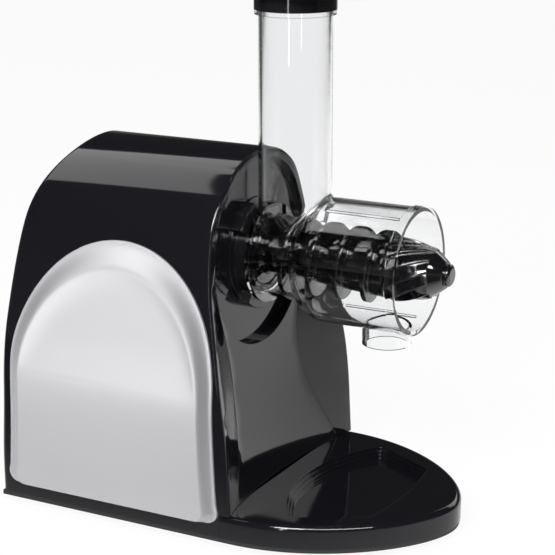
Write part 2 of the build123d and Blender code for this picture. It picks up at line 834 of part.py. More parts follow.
def cooling_fan():
    x = motor_back_x - 3 - fan_width
    fan = tube_x_axis(x, x + fan_width, fan_hub_radius, motor_shaft_radius, z=motor_z)
    fan += tube_x_axis(x + fan_width - fan_sheet, x + fan_width, fan_radius, motor_shaft_radius, z=motor_z)
    span = fan_radius - fan_hub_radius + 0.5
    blade_face = Plane.YZ * Pos(0, fan_radius - 0.25 - span / 2) * Rectangle(fan_sheet, span)
    blade = Pos(x, 0, motor_z) * extrude(blade_face, fan_width - 1)
    for k in range(fan_blades):
        fan += Pos(0, 0, motor_z) * Rot(360.0 / fan_blades * k, 0, 0) * Pos(0, 0, -motor_z) * blade
    return fan


def motor_cradle():
    """Two saddles on a foot plate, standing on the floor under the stator."""
    middle = (stator_front_x + stator_back_x) / 2
    body = box_between((middle - cradle_length / 2, -cradle_width / 2, floor_top),
                       (middle + cradle_length / 2, cradle_width / 2, floor_top + cradle_plate))
    for x in (middle - saddle_gap / 2 - cradle_plate, middle + saddle_gap / 2):
        saddle = box_between((x, -saddle_width / 2, floor_top),
                             (x + cradle_plate, saddle_width / 2, motor_z - 20))
        body += saddle - tube_x_axis(x - 1, x + cradle_plate + 1, stator_radius, z=motor_z)
    body += box_between((middle - saddle_gap / 2 - cradle_plate, -2, floor_top),
                        (middle + saddle_gap / 2 + cradle_plate, 2, motor_z - stator_radius - 6))
    return body


def control_board():
    """The switch's board on two rails, with a capacitor and a terminal block."""
    face_x = board_rear_x + board_sheet
    side = board_width / 2
    board = box_between((board_rear_x, -side, board_low_z), (face_x, side, board_low_z + board_height))
    capacitor = tube_x_axis(face_x, face_x + capacitor_length, capacitor_radius, y=-side / 2,
                            z=board_low_z + board_height / 2)
    terminals = box_between((face_x, side - 26, board_low_z + 4),
                            (face_x + 10.4, side - 4, board_low_z + 14))
    body = board + capacitor + terminals
    for y in (-side, side - 3.0):
        body += box_between((board_rear_x - 1, y, floor_top), (face_x + 1, y + 3.0, board_low_z + 4))
    return body


# ---- Base --------------------------------------------------------------------------------------

platform_bosses = [(x, side * y) for x, y in (platform_boss_front, platform_boss_rear) for side in (1, -1)]


def recess_outline(inset=0.0):
    """The jug's recess in plan: two arcs, joined by straight sides that close towards the nose."""
    back_x, back_y = recess_back_corner
    front_x, front_y = recess_front_corner
    face = make_face([
        ThreePointArc((back_x, back_y), (recess_rear_x, 0), (back_x, -back_y)),
        Line((back_x, -back_y), (front_x, -front_y)),
        ThreePointArc((front_x, -front_y), (recess_front_x, 0), (front_x, front_y)),
        Line((front_x, front_y), (back_x, back_y)),
    ])
    face = offset(face, -inset, kind=Kind.INTERSECTION) if inset else face
    return fillet(face.vertices(), recess_corner_radius - inset)


def base_platform():
    height = platform_top - floor_top
    body = Pos(0, 0, floor_top) * extrude(nose_outline(), height)
    top_edges = [e for e in body.edges()
                 if (e @ 0.5).Z > platform_top - 0.1 and (e @ 0.5).X > nose_rear_x + 2]
    body = body.fillet(platform_edge_radius, top_edges)
    hollow = Pos(0, 0, floor_top) * extrude(nose_outline(-platform_wall), height - platform_wall)
    cup = Pos(0, 0, platform_top - recess_depth - platform_wall) * extrude(
        recess_outline(-platform_wall), recess_depth)
    body -= hollow - cup
    for k in range(recess_step_count):
        step = extrude(recess_outline(k * recess_step_tread), recess_depth)
        body -= Pos(0, 0, platform_top - (k + 1) * recess_step_rise) * step
    for x, y in platform_bosses:
        body += bar_z(x, y, floor_top, platform_top - platform_wall, boss_radius, screw_radius) & (
            Pos(0, 0, floor_top) * extrude(nose_outline(-0.5), height))
    return body


def floor_outline(inset):
    level = Pos(0, 0, -sections[-1][0]) * plan_face(sections[-1], inset + 1.0)
    return level & Rectangle(400, 2 * skirt_half_width - 2 * inset)


foot_places = [(x, side * y) for x, y in (foot_rear, foot_front) for side in (1, -1)]


def bottom_plate():
    footprint = floor_outline(0.6)
    plate = Pos(0, 0, floor_bottom) * extrude(footprint + nose_outline(-0.6), floor_thickness)
    for x, side in boss_places:
        plate -= screw_hole(x, side * boss_y)
    for x, y in platform_bosses:
        plate -= screw_hole(x, y)
    for x, y in foot_places:
        plate -= bar_z(x, y, floor_bottom - 1, floor_top + 1, foot_stem_radius)
    vent = extrude(SlotOverall(floor_vent_length, vent_width, rotation=90), floor_thickness + 2)
    for column in range(floor_vent_columns):
        for side in (-1, 1):
            x = floor_vent_rear_x + column * floor_vent_pitch
            plate -= Pos(x, side * floor_vent_y, floor_bottom - 1) * vent
    return plate


def screw_hole(x, y):
    return bar_z(x, y, floor_bottom - 1, floor_top + 1, screw_radius + 0.2) + bar_z(
        x, y, floor_bottom - 1, floor_bottom + screw_head_height, screw_head_radius + 0.3)


def screw_z(x, y):
    """A screw driven up through the floor, its head sunk in it."""
    seat = floor_bottom + screw_head_height
    shank = bar_z(x, y, seat, seat + screw_length, screw_radius)
    head = bar_z(x, y, floor_bottom, seat, screw_head_radius)
    cross = Pos(x, y, floor_bottom) * extrude(Rectangle(4, 0.9) + Rectangle(0.9, 4), 1.2)
    return head - cross + shank


def rubber_feet():
    def foot(x, y):
        pad = turned_z([(0, table_z), (foot_radius - 1.2, table_z), (foot_radius, table_z + 1.2),
                        (foot_radius - 0.4, floor_bottom), (0, floor_bottom)])
        stem = bar_z(0, 0, floor_bottom, floor_top, foot_stem_radius)
        barb = turned_z([(0, floor_top), (foot_stem_radius + 0.8, floor_top),
                         (foot_stem_radius - 0.4, floor_top + 1.4), (0, floor_top + 1.4)])
        return Pos(x, y, 0) * (pad + stem + barb)

    return Compound([foot(x, y) for x, y in foot_places])


def turned_z(points):
    """A body of revolution about Z from (radius, z) points."""
    return revolve(make_face(Polyline(*[(r, 0, z) for r, z in points], close=True)), Axis.Z, 360)


# ---- Switch and gland --------------------------------------------------------------------------

def rocker_bezel():
    """The switch's frame: a rim on the housing and a box through its opening."""
    seat_x = switch_seat_x
    rim = switch_box(seat_x - 2.0, seat_x, bezel_margin)
    rim = rim.fillet(1.2, rim.edges().filter_by(Axis.X))
    body = rim + switch_box(seat_x, seat_x + 14, -0.1)
    body -= switch_box(seat_x - 5, seat_x + 11, -bezel_wall)
    return body - pivot_bar(rocker_pin_radius + running_clearance, switch_width / 2 - 1.1)


def pivot_bar(radius, reach):
    """The rocker's pivot along Y, as a bar between -reach and reach."""
    bar = extrude(Plane.XZ * Circle(radius), reach, both=True)
    return Pos(switch_seat_x + rocker_pivot_depth, 0, switch_z) * bar


def rocker_button():
    """A rocker that pivots about Y, with a dished face, its lower end pressed: switched off."""
    seat_x = switch_seat_x
    half = switch_height / 2 - bezel_wall - 1.1
    face_x, back_x = seat_x - 3.0, seat_x + 3.5
    outline = make_face([
        ThreePointArc((face_x, switch_z + half), (seat_x - 0.8, switch_z), (face_x, switch_z - half)),
        Line((face_x, switch_z - half), (back_x, switch_z - half * 0.86)),
        Line((back_x, switch_z - half * 0.86), (back_x, switch_z + half * 0.86)),
        Line((back_x, switch_z + half * 0.86), (face_x, switch_z + half)),
    ])
    width = switch_width - 2 * (bezel_wall + 0.4)
    button = extrude(Plane.XZ * outline, width / 2, both=True)
    button += pivot_bar(rocker_pin_radius, switch_width / 2 - 1.4)
    pivot = Pos(switch_seat_x + rocker_pivot_depth, 0, switch_z)
    return pivot * Rot(0, -rocker_tilt, 0) * pivot.inverse() * button


def cord_gland():
    x = gland_seat_x
    inner = gland_radius - 0.1
    return Pos(0, gland_y, gland_z) * turned([
        (x + 12, cord_bore_radius), (x + 12, inner - 1.0), (x, inner), (x, inner + gland_flange),
        (x - 2.0, inner + gland_flange), (x - 3.0, inner), (x - 12, cord_bore_radius + 2.2),
        (x - 12, cord_bore_radius),
    ])


# ---- Drum --------------------------------------------------------------------------------------

def drum_outer():
    """The drum's outer form: spigot, flange, neck, round shoulder, barrel and rim band."""
    flange_x = collar_reach + 0.4
    neck_x = flange_x + drum_flange_thickness
    band_x = drum_front_x - rim_band_width
    back_x = bay_back_x + 0.4
    lines = Polyline((back_x, 0, 0), (back_x, 0, spigot_radius), (flange_x, 0, spigot_radius),
                     (flange_x, 0, drum_flange_radius), (neck_x, 0, drum_flange_radius),
                     (neck_x, 0, neck_rear_radius), (neck_end_x, 0, neck_front_radius))
    shoulder = shoulder_arc(0.0)
    front = Polyline((shoulder_end_x, 0, drum_radius), (band_x, 0, drum_radius),
                     (band_x, 0, rim_band_radius), (drum_front_x, 0, rim_band_radius),
                     (drum_front_x, 0, 0), (back_x, 0, 0))
    return revolve(make_face([*lines.edges(), shoulder, *front.edges()]), Axis.X, 360)


def shoulder_arc(inset):
    """The shoulder's section: it leaves the neck steeply and rounds over into the barrel."""
    start = (neck_end_x + inset * 0.6, 0, neck_front_radius - inset)
    end = (shoulder_end_x + inset * 0.6, 0, drum_radius - inset)
    middle = (start[0] + 0.36 * (end[0] - start[0]), 0, start[2] + 0.62 * (end[2] - start[2]))
    return ThreePointArc(start, middle, end)


def drum_inner():
    flange_x = collar_reach + 0.4
    step_x = flange_x + 1.2
    lines = Polyline((bay_back_x - 1, 0, 0), (bay_back_x - 1, 0, spigot_bore), (step_x, 0, spigot_bore),
                     (step_x, 0, neck_rear_radius - drum_wall),
                     (neck_end_x + drum_wall * 0.6, 0, neck_front_radius - drum_wall))
    front = Polyline((shoulder_end_x + drum_wall * 0.6, 0, drum_radius - drum_wall),
                     (drum_front_x + 1, 0, drum_radius - drum_wall), (drum_front_x + 1, 0, 0),
                     (bay_back_x - 1, 0, 0))
    return revolve(make_face([*lines.edges(), shoulder_arc(drum_wall), *front.edges()]), Axis.X, 360)


def feed_tube(inset=0.0, bottom=6.0):
    """The feed tube's outside, or its bore where inset is the wall."""
    height = tube_top_z - bottom + (1 if inset else 0)
    cone = Solid.make_cone(tube_radius - inset, tube_radius - inset - tube_draft, height)
    return Pos(tube_x, 0, bottom) * cone


def juicing_drum():
    bead = turned_z([(tube_radius - 2, tube_bead_z), (tube_bead_radius, tube_bead_z),
                     (tube_bead_radius, tube_bead_z + tube_bead_thickness),
                     (tube_radius - 2, tube_bead_z + tube_bead_thickness)])
    spout = bar_z(outlet_x, 0, -outlet_reach, -drum_radius + 6, outlet_radius)
    flange_x = collar_reach + 0.4
    tube = feed_tube() - tube_x_axis(-30, flange_x, collar_radius + 0.8)
    bore = feed_tube(tube_wall) - tube_x_axis(-30, flange_x + drum_wall, collar_radius + 0.8 + drum_wall)
    body = blend_tube_root(drum_outer() + tube) + Pos(tube_x, 0, 0) * bead + spout
    lug = tube_x_axis(0, lug_thickness, spigot_radius + lug_height - 0.3, spigot_radius - 1)
    lug_x = collar_reach - lip_thickness - lug_thickness - 0.3
    for k in range(lug_count):
        body += Pos(lug_x, 0, 0) * lug & wedge(lug_place(k), lug_angle)
    body = body - drum_inner() - bore
    body -= bar_z(outlet_x, 0, -outlet_reach - 1, -20, outlet_radius - outlet_wall)
    for angle in rib_angles:
        body += drum_rib(angle)
    return body


def blend_tube_root(body):
    """Round the corner where the feed tube leaves the neck and the shoulder."""
    neck_x = collar_reach + 0.4 + drum_flange_thickness
    roots = [e for e in body.edges() if neck_x < (e @ 0.5).X and (e @ 0.5).Z < drum_radius
             and abs(math.hypot((e @ 0.5).X - tube_x, (e @ 0.5).Y) - tube_radius) < tube_draft + 0.1]
    return body.fillet(tube_root_radius, roots)


def drum_rib(angle):
    """A low rib inside the barrel, which holds the pulp against turning with the auger."""
    inner = drum_radius - drum_wall
    rib = box_between((shoulder_end_x + 4, -rib_width / 2, inner - rib_height),
                      (drum_front_x - rim_band_width - 2, rib_width / 2, inner + 0.6))
    return Rot(angle, 0, 0) * rib


# ---- Auger -------------------------------------------------------------------------------------

def auger_flights():
    """The left-handed flight: a tapered tooth swept along a slightly conical helix."""
    length = flight_end_x - flight_start_x
    path_radius = core_rear_radius - 4
    taper = math.degrees(math.atan((flight_radius - flight_front_radius) / length))
    path = Helix(flight_pitch, length, path_radius, cone_angle=-taper, lefthand=True)
    half_root, half_tip = flight_root_width / 2, flight_tip_width / 2
    tooth = make_face(Polyline((path_radius, 0, -half_root), (flight_radius, 0, -half_tip),
                               (flight_radius, 0, half_tip), (path_radius, 0, half_root), close=True))
    turns_to_top = (flight_top_x - flight_start_x) / flight_pitch
    flight = Rot(180 + 360 * turns_to_top, 0, 0) * Rot(0, 90, 0) * sweep(tooth, path, is_frenet=True)
    return Pos(flight_start_x, 0, 0) * flight - tube_x_axis(-10, flight_rear_x, flight_radius + 10)


def auger():
    """The screw: a hub with the seal's groove, a growing core with its flight, a ribbed cone and a nose."""
    socket_back = bay_back_x + 0.3
    rim = spigot_bore - 0.8
    groove_end_x = seal_x + seal_width
    core = turned([
        (socket_back, 0), (socket_back, auger_hub_radius), (0.0, auger_hub_radius), (0.0, rim),
        (seal_x, rim), (seal_x, seal_groove_radius), (groove_end_x, seal_groove_radius), (groove_end_x, rim),
        (flange_front_x - 1.0, rim), (flange_front_x, core_rear_radius + 2),
        (flight_start_x, core_rear_radius), (cone_start_x, core_front_radius), (cone_start_x, 0),
    ])
    ribbed = ribbed_cone()
    for k in range(tooth_count):
        ribbed -= Rot(360.0 / tooth_count * k, 0, 0) * rib_groove()
    body = core + ribbed + auger_nose() + auger_flights()
    return body - tube_x_axis(socket_back - 1, flight_start_x + 3, socket_radius)


def cone_middle():
    """(x, radius) half way along the ribbed cone."""
    return (cone_start_x + cone_end_x) / 2, (cone_start_radius + cone_end_radius) / 2 + cone_belly


def ribbed_cone():
    """The cone ahead of the flights, before its grooves are cut."""
    middle_x, middle_radius = cone_middle()
    crown = ThreePointArc((cone_start_x, 0, cone_start_radius), (middle_x, 0, middle_radius),
                          (cone_end_x, 0, cone_end_radius))
    ends = Polyline((cone_end_x, 0, cone_end_radius), (cone_end_x, 0, 0), (cone_start_x, 0, 0),
                    (cone_start_x, 0, cone_start_radius))
    return revolve(make_face([crown, *ends.edges()]), Axis.X, 360)


def rib_groove():
    """One sawtooth groove that turns about the axis as it runs forward."""
    middle_x, middle_radius = cone_middle()
    half_depth = (tooth_depth + tooth_front_depth) / 2
    rear = sawtooth(cone_start_radius, tooth_depth)
    middle = sawtooth(middle_radius, half_depth)
    front = sawtooth(cone_end_radius, tooth_front_depth)
    return loft([
        Plane.YZ.offset(cone_start_x - 0.5) * rear,
        Plane.YZ.offset(middle_x) * Rot(0, 0, -tooth_skew / 2) * middle,
        Plane.YZ.offset(cone_end_x + 0.5) * Rot(0, 0, -tooth_skew) * front,
    ])


def sawtooth(radius, depth):
    """A groove's section: a steep side and a flat facet that rises to the next rib's crest."""
    reach = math.radians(360.0 / tooth_count - tooth_land_angle)
    root = Vector(0, radius - depth)
    crest = Vector(-radius * math.sin(reach), radius * math.cos(reach))
    past = root + (crest - root) * 1.35
    outside = radius + depth
    return make_face(Polyline((root.X, root.Y), (depth / 4, outside), (past.X, outside), (past.X, past.Y),
                              close=True))


def auger_nose():
    """The smooth nose and the pin that an end cap would carry."""
    nose_end_x = cone_end_x + nose_length
    start_radius = cone_end_radius - tooth_front_depth
    base = Polyline((cone_end_x, 0, 0), (cone_end_x, 0, start_radius))
    curve = ThreePointArc((cone_end_x, 0, start_radius),
                          (cone_end_x + 0.6 * nose_length, 0, 0.45 * start_radius + 0.55 * nose_end_radius),
                          (nose_end_x, 0, nose_end_radius))
    pin_x = nose_end_x + pin_neck_length
    neck = Polyline((nose_end_x, 0, nose_end_radius), (nose_end_x, 0, pin_neck_radius),
                    (pin_x, 0, pin_neck_radius), (pin_x, 0, pin_radius), (pin_end_x - 1.6, 0, pin_radius))
    dome = ThreePointArc((pin_end_x - 1.6, 0, pin_radius), (pin_end_x - 0.5, 0, pin_radius - 1.2),
                         (pin_end_x, 0, pin_radius - 3.2))
    close = Polyline((pin_end_x, 0, pin_radius - 3.2), (pin_end_x, 0, 0), (cone_end_x, 0, 0))
    return revolve(make_face([*base.edges(), curve, *neck.edges(), dome, *close.edges()]), Axis.X, 360)


def auger_drive_socket():
    back = bay_back_x + 0.4
    body = tube_x_axis(back, flight_start_x + 3, socket_radius)
    side = square_side + 2 * square_clearance
    hole = extrude(Plane.YZ * Rectangle(side, side), square_reach - back + 1.0)
    return body - Pos(back - 0.5, 0, 0) * hole


def auger_seal():
    return tube_x_axis(seal_x, seal_x + seal_width, spigot_bore - seal_clearance, seal_groove_radius)


# ---- Feed tray ---------------------------------------------------------------------------------

def feed_tray():
    """A dished tray that sits on the tube's bead and lifts off."""
    floor_z = tube_bead_z + tube_bead_thickness + tray_sleeve
    outer = tray_solid(tray_length, tray_width, floor_z, tray_depth, 0.0)
    inner = tray_solid(tray_length, tray_width, floor_z, tray_depth + 1, tray_wall)
    sleeve_radius = tube_radius + tray_clearance + tray_sleeve_wall
    sleeve = bar_z(tube_x, 0, tube_bead_z + tube_bead_thickness, floor_z + tray_wall, sleeve_radius)
    body = outer - inner + sleeve
    return body - bar_z(tube_x, 0, tube_bead_z, floor_z + tray_depth + 2, tube_radius + tray_clearance)


def tray_solid(length, width, z, height, inset):
    """The tray's form, from its floor to its wider rim, set in by a wall where it is the hollow."""
    low = RectangleRounded(length - 2 * tray_flare - 2 * inset, width - 2 * tray_flare - 2 * inset,
                           tray_corner_radius - tray_flare - inset)
    high = RectangleRounded(length - 2 * inset, width - 2 * inset, tray_corner_radius - inset)
    centre = tube_x + tray_offset
    return loft([Pos(centre, 0, z + inset) * low, Pos(centre, 0, z + height) * high])


# ---- All the pieces ----------------------------------------------------------------------------

housing = rounded_housing()
shell_form = shell_between(housing)
near_panel = side_panel()

parts = {
    "body_shell": body_shell(shell_form),
    "front_fascia": front_fascia(shell_form),
    "side_panel_near": near_panel,
    "side_panel_far": mirrored_y(near_panel),
    "hub_collar": hub_collar(),
    "shaft_seal": shaft_seal(),
    "front_bush": bush(gearbox_front_x, gearbox_front_x + 8),
    "rear_bush": bush(cover_back_x, cover_back_x + 6),
    "drive_shaft": drive_shaft(),
    "output_gear": output_gear(),
    "counter_gear": counter_gear(),
    "counter_pin": counter_pin(),
    "motor_pinion": motor_pinion(),
    "gearbox_case": gearbox_case(),
    "gearbox_cover": gearbox_cover(),
    "gearbox_screws": gearbox_screws(),
    "motor_shaft": motor_shaft(),
    "motor_rotor": motor_rotor(),
    "motor_stator": motor_stator(),
    "field_coils": field_coils(),
    "motor_front_bracket": motor_bracket(motor_front_x, -1),
    "motor_rear_bracket": motor_bracket(motor_back_x, 1),
    "motor_screws": motor_screws(),
    "cooling_fan": cooling_fan(),
    "motor_cradle": motor_cradle(),
    "control_board": control_board(),
    "base_platform": base_platform(),
    "bottom_plate": bottom_plate(),
    "rubber_feet": rubber_feet(),
    "housing_screws": Compound([screw_z(x, side * boss_y) for x, side in boss_places]),
    "platform_screws": Compound([screw_z(x, y) for x, y in platform_bosses]),
    "rocker_bezel": rocker_bezel(),
    "rocker_button": rocker_button(),
    "cord_gland": cord_gland(),
    "juicing_drum": juicing_drum(),
    "auger": auger(),
    "auger_drive_socket": auger_drive_socket(),
    "auger_seal": auger_seal(),
    "feed_tray": feed_tray(),
}

everything = Compound([Compound(part.solids()) for part in parts.values()]).bounding_box()
to_origin = Pos(-(everything.min.X + everything.max.X) / 2, -(everything.min.Y + everything.max.Y) / 2,
                -everything.min.Z)
for name, part in parts.items():
    export_step(to_origin * Compound(part.solids()), f"parts/{name}.step")
print("moved by", to_origin.position)
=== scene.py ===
# %% [markdown]
# # A cold press juicer in Blender
#
# The solids come from CAD and are never moved. This script loads them, gives every piece its own
# finish, models the pieces whose looks need finer forms than the solids have, and sets up a plain
# studio with a floor, soft light and a camera.

# %% Load the frame
import bmesh
import bpy
import math
from mathutils import Matrix, Vector


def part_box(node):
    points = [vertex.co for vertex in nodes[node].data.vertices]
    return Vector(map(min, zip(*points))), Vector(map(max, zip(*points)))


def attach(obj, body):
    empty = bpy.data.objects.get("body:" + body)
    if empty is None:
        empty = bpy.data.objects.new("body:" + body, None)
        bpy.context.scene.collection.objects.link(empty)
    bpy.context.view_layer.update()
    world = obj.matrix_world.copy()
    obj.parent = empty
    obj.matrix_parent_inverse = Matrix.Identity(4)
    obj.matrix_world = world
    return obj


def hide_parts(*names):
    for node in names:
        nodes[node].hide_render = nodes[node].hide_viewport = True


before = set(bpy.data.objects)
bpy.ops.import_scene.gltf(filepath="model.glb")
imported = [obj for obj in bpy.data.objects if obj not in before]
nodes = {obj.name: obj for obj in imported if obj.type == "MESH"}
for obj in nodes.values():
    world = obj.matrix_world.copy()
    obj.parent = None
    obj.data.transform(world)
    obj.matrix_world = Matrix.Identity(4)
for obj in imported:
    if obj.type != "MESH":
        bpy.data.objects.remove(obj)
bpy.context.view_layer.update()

# %% [markdown]
# The machine stands on the origin, its drum axis along X and the user's side towards -Y. The
# collar that holds the drum lies on that axis, so the axis and the rim of the pocket behind it are
# read from the collar's box. The finer panels and the camera are placed from these two numbers.

# %% Places read from the solids
MM = 0.001
COLLAR_REACH = 5 * MM               # how far the collar stands out of the pocket's rim
collar_low, collar_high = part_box("hub_collar")
axis_z = (collar_low.z + collar_high.z) / 2
rim_x = collar_high.x - COLLAR_REACH
print("drum axis height", round(axis_z, 4), "pocket rim x", round(rim_x, 4))

# %% [markdown]
# ## Finishes
#
# A finish is one Principled shader with a little noise in its roughness and height, because a
# moulded surface is never perfectly even. Painted or scanned textures could do it too, but noise
# needs no file and no unwrapping. Coordinates come from the object itself, so the noise stays on
# the piece when a joint moves it.

# %% Helpers for finishes
EDGE_SAMPLES = 6
SLOW_SCALE = 14                     # patches of polish are a few centimetres wide


def object_noise(tree, scale, detail):
    """Noise that is fixed to the object."""
    place = tree.nodes.new("ShaderNodeTexCoord")
    noise = tree.nodes.new("ShaderNodeTexNoise")
    noise.inputs["Scale"].default_value = scale
    noise.inputs["Detail"].default_value = detail
    tree.links.new(place.outputs["Object"], noise.inputs["Vector"])
    return noise.outputs["Fac"]


def uneven_polish(tree, scale, detail, low, high):
    """Let noise move the roughness of the tree's shader between two values."""
    spread = tree.nodes.new("ShaderNodeMapRange")
    spread.inputs["To Min"].default_value = low
    spread.inputs["To Max"].default_value = high
    tree.links.new(object_noise(tree, scale, detail), spread.inputs["Value"])
    tree.links.new(spread.outputs["Result"], tree.nodes["Principled BSDF"].inputs["Roughness"])


def finish(name, color, roughness, metallic=0.0, ior=None, grain=0.0, grain_scale=900.0, drift=0.0,
           rounding=0.0):
    """A Principled finish: grain is the height of fine noise in metres, drift a slow change of the
    roughness, and rounding the radius that light finds on sharp edges."""
    material = bpy.data.materials.new(name)
    material.use_nodes = True
    tree = material.node_tree
    shader = tree.nodes["Principled BSDF"]
    shader.inputs["Base Color"].default_value = (*color, 1)
    shader.inputs["Metallic"].default_value = metallic
    shader.inputs["Roughness"].default_value = roughness
    if ior:
        shader.inputs["IOR"].default_value = ior
    edge = None
    if rounding:
        edge = tree.nodes.new("ShaderNodeBevel")
        edge.samples = EDGE_SAMPLES
        edge.inputs["Radius"].default_value = rounding
        tree.links.new(edge.outputs["Normal"], shader.inputs["Normal"])
    if grain:
        bump = tree.nodes.new("ShaderNodeBump")
        bump.inputs["Distance"].default_value = grain
        bump.inputs["Strength"].default_value = 1.0
        tree.links.new(object_noise(tree, grain_scale, 3), bump.inputs["Height"])
        if edge:
            tree.links.new(edge.outputs["Normal"], bump.inputs["Normal"])
        tree.links.new(bump.outputs["Normal"], shader.inputs["Normal"])
    if drift:
        uneven_polish(tree, SLOW_SCALE, 2, roughness - drift, roughness + drift)
    return material


# %% [markdown]
# The housing, the platform and the tray are moulded in gloss black plastic, the collar in the same
# plastic with a duller polish. The auger reflects more than real plastic would, so that its
# flights still show through the drum. Its edges are rounded by more than a millimetre for the
# light, because the crest of a moulded flight is never sharp. The panels are satin metal paint.
# Inside are turned steel, nylon gears, a laminated stator with copper coils, and a green board.

# %% The finishes
gloss_black = finish("gloss_black", (0.006, 0.006, 0.008), 0.07, drift=0.015, rounding=0.0006)
hub_black = finish("hub_black", (0.006, 0.006, 0.007), 0.16, drift=0.03, rounding=0.0006)
auger_black = finish("auger_black", (0.004, 0.004, 0.005), 0.07, ior=2.0, drift=0.015,
                     rounding=0.0013)
panel_silver = finish("panel_silver", (0.76, 0.76, 0.78), 0.54, metallic=0.75, grain=0.000004,
                      grain_scale=2600, drift=0.02)
tray_black = finish("tray_black", (0.008, 0.008, 0.009), 0.09, drift=0.015)
floor_black = finish("floor_black", (0.02, 0.02, 0.021), 0.55, grain=0.00003, grain_scale=1400)
rubber = finish("rubber", (0.018, 0.018, 0.018), 0.75, grain=0.00004, grain_scale=1100)
silicone = finish("silicone", (0.62, 0.62, 0.6), 0.45, grain=0.00001)
bronze = finish("bronze", (0.58, 0.36, 0.16), 0.38, metallic=1.0, grain=0.00002, grain_scale=1800)
steel = finish("steel", (0.56, 0.56, 0.57), 0.26, metallic=1.0, grain=0.000008, grain_scale=2200)
nylon = finish("nylon", (0.78, 0.75, 0.66), 0.46, grain=0.00001)
dark_nylon = finish("dark_nylon", (0.03, 0.03, 0.032), 0.5, grain=0.00002, grain_scale=1500)
laminate = finish("laminate", (0.28, 0.285, 0.3), 0.42, metallic=0.9, grain=0.00002,
                  grain_scale=1700)
copper = finish("copper", (0.62, 0.2, 0.07), 0.34, metallic=1.0, grain=0.00006, grain_scale=700)
die_cast = finish("die_cast", (0.55, 0.55, 0.56), 0.5, metallic=0.9, grain=0.00003,
                  grain_scale=1300)
board_green = finish("board_green", (0.012, 0.11, 0.045), 0.35, grain=0.00001)
switch_black = finish("switch_black", (0.012, 0.012, 0.013), 0.38, grain=0.00001, grain_scale=1500)
print("finishes", len(bpy.data.materials))

# %% [markdown]
# The drum is one clear moulding with walls a few millimetres thick. Real walls and real refraction
# make the grey lines where a wall is seen end on, so nothing is drawn there by hand. Its polish
# varies a little, as on plastic that has been washed and handled.

# %% The clear plastic
CLEAR_POLISH = (0.012, 0.03)        # the lowest and highest roughness
CLEAR_SCALE, CLEAR_DETAIL = 26, 4


def clear_plastic():
    """Clear plastic that bends light, a little duller in some places than in others."""
    material = bpy.data.materials.new("drum_clear")
    material.use_nodes = True
    tree = material.node_tree
    shader = tree.nodes["Principled BSDF"]
    shader.inputs["Base Color"].default_value = (0.97, 0.975, 0.98, 1)
    shader.inputs["IOR"].default_value = 1.46
    shader.inputs["Transmission Weight"].default_value = 1.0
    uneven_polish(tree, CLEAR_SCALE, CLEAR_DETAIL, *CLEAR_POLISH)
    return material


drum_clear = clear_plastic()
print("clear", drum_clear.name)

# %% [markdown]
# Every node of the frame takes one finish. A solid from CAD comes as loose triangles: they are
# marked smooth, welded, and parted again where two faces meet at a real edge. The weld and the
# parting are modifiers, so the mesh itself keeps its form.

# %% Finishes on the solids
WELD_GAP = 0.000002                 # metres
SMOOTH_ANGLE, PANEL_ANGLE = 28, 40  # degrees: flatter edges than these are shaded smooth

worn_by = {
    gloss_black: ["body_shell", "front_fascia", "base_platform"],
    panel_silver: ["side_panel_near", "side_panel_far"],
    hub_black: ["hub_collar"], auger_black: ["auger"], tray_black: ["feed_tray"],
    drum_clear: ["juicing_drum"], floor_black: ["bottom_plate"], rubber: ["rubber_feet"],
    silicone: ["shaft_seal", "auger_seal"], bronze: ["front_bush", "rear_bush"],
    steel: ["drive_shaft", "counter_pin", "motor_pinion", "motor_shaft", "gearbox_screws",
            "motor_screws", "housing_screws", "platform_screws", "auger_drive_socket"],
    nylon: ["output_gear", "counter_gear"],
    dark_nylon: ["gearbox_case", "gearbox_cover", "cooling_fan", "motor_cradle"],
    laminate: ["motor_rotor", "motor_stator"], copper: ["field_coils"],
    die_cast: ["motor_front_bracket", "motor_rear_bracket"], board_green: ["control_board"],
    switch_black: ["rocker_bezel", "rocker_button", "cord_gland"],
}


def wear(obj, material):
    """Give a piece one material and no other."""
    obj.data.materials.clear()
    obj.data.materials.append(material)


def soften(obj, angle=SMOOTH_ANGLE):
    """Shade a piece smooth: weld its loose triangles, then part its faces at real edges."""
    for face in obj.data.polygons:
        face.use_smooth = True
    weld = obj.modifiers.new("weld", "WELD")
    weld.merge_threshold = WELD_GAP
    part = obj.modifiers.new("edges", "EDGE_SPLIT")
    part.split_angle = math.radians(angle)


for material, names in worn_by.items():
    for name in names:
        wear(nodes[name], material)
        soften(nodes[name])
dressed = {name for names in worn_by.values() for name in names}
print("nodes without a finish:", sorted(set(nodes) - dressed))

# %% [markdown]
# ## The silver side panels
#
# Each panel is a satin silver cover on the housing's leaning side: a thin rim, a band that rises
# to a soft ridge, and a wide field that dips a little under the ridge at the top of the arch. The
# solid has the same outline and height, with a plain slope. Here the band is drawn as an S, because
# satin metal shows every change of slope. A displaced grid could draw it too, but its edge would be
# a stair beside the exact outline. So the panel grows from its outline, and its back follows the
# slope and the curve of the housing's side.

# %% The panel's outline and the housing's side
ARCH_HALF, ARCH_RISE = 78.75, 89.3          # half-ellipse above the shoulders, millimetres
LEG_DROP, LEG_SPREAD = 85.5, 3.75
CORNER = 8.0
PANEL_X, SHOULDER_Z = -65.6, -73.5          # from the pocket rim and the drum axis
SHRINK_Z = -LEG_DROP + 12.0                 # the height towards which the rings shrink
FOOT_POINTS, FOOT_STEP = 6, 14.0            # along half of the foot
CORNER_STEP, LEG_STEPS, ARCH_STEPS = 10, 16, 96
CROWN, LEAN, SKIRT, BLEND = 70.0, math.radians(15.5), 91.3, 170.0   # the housing's side


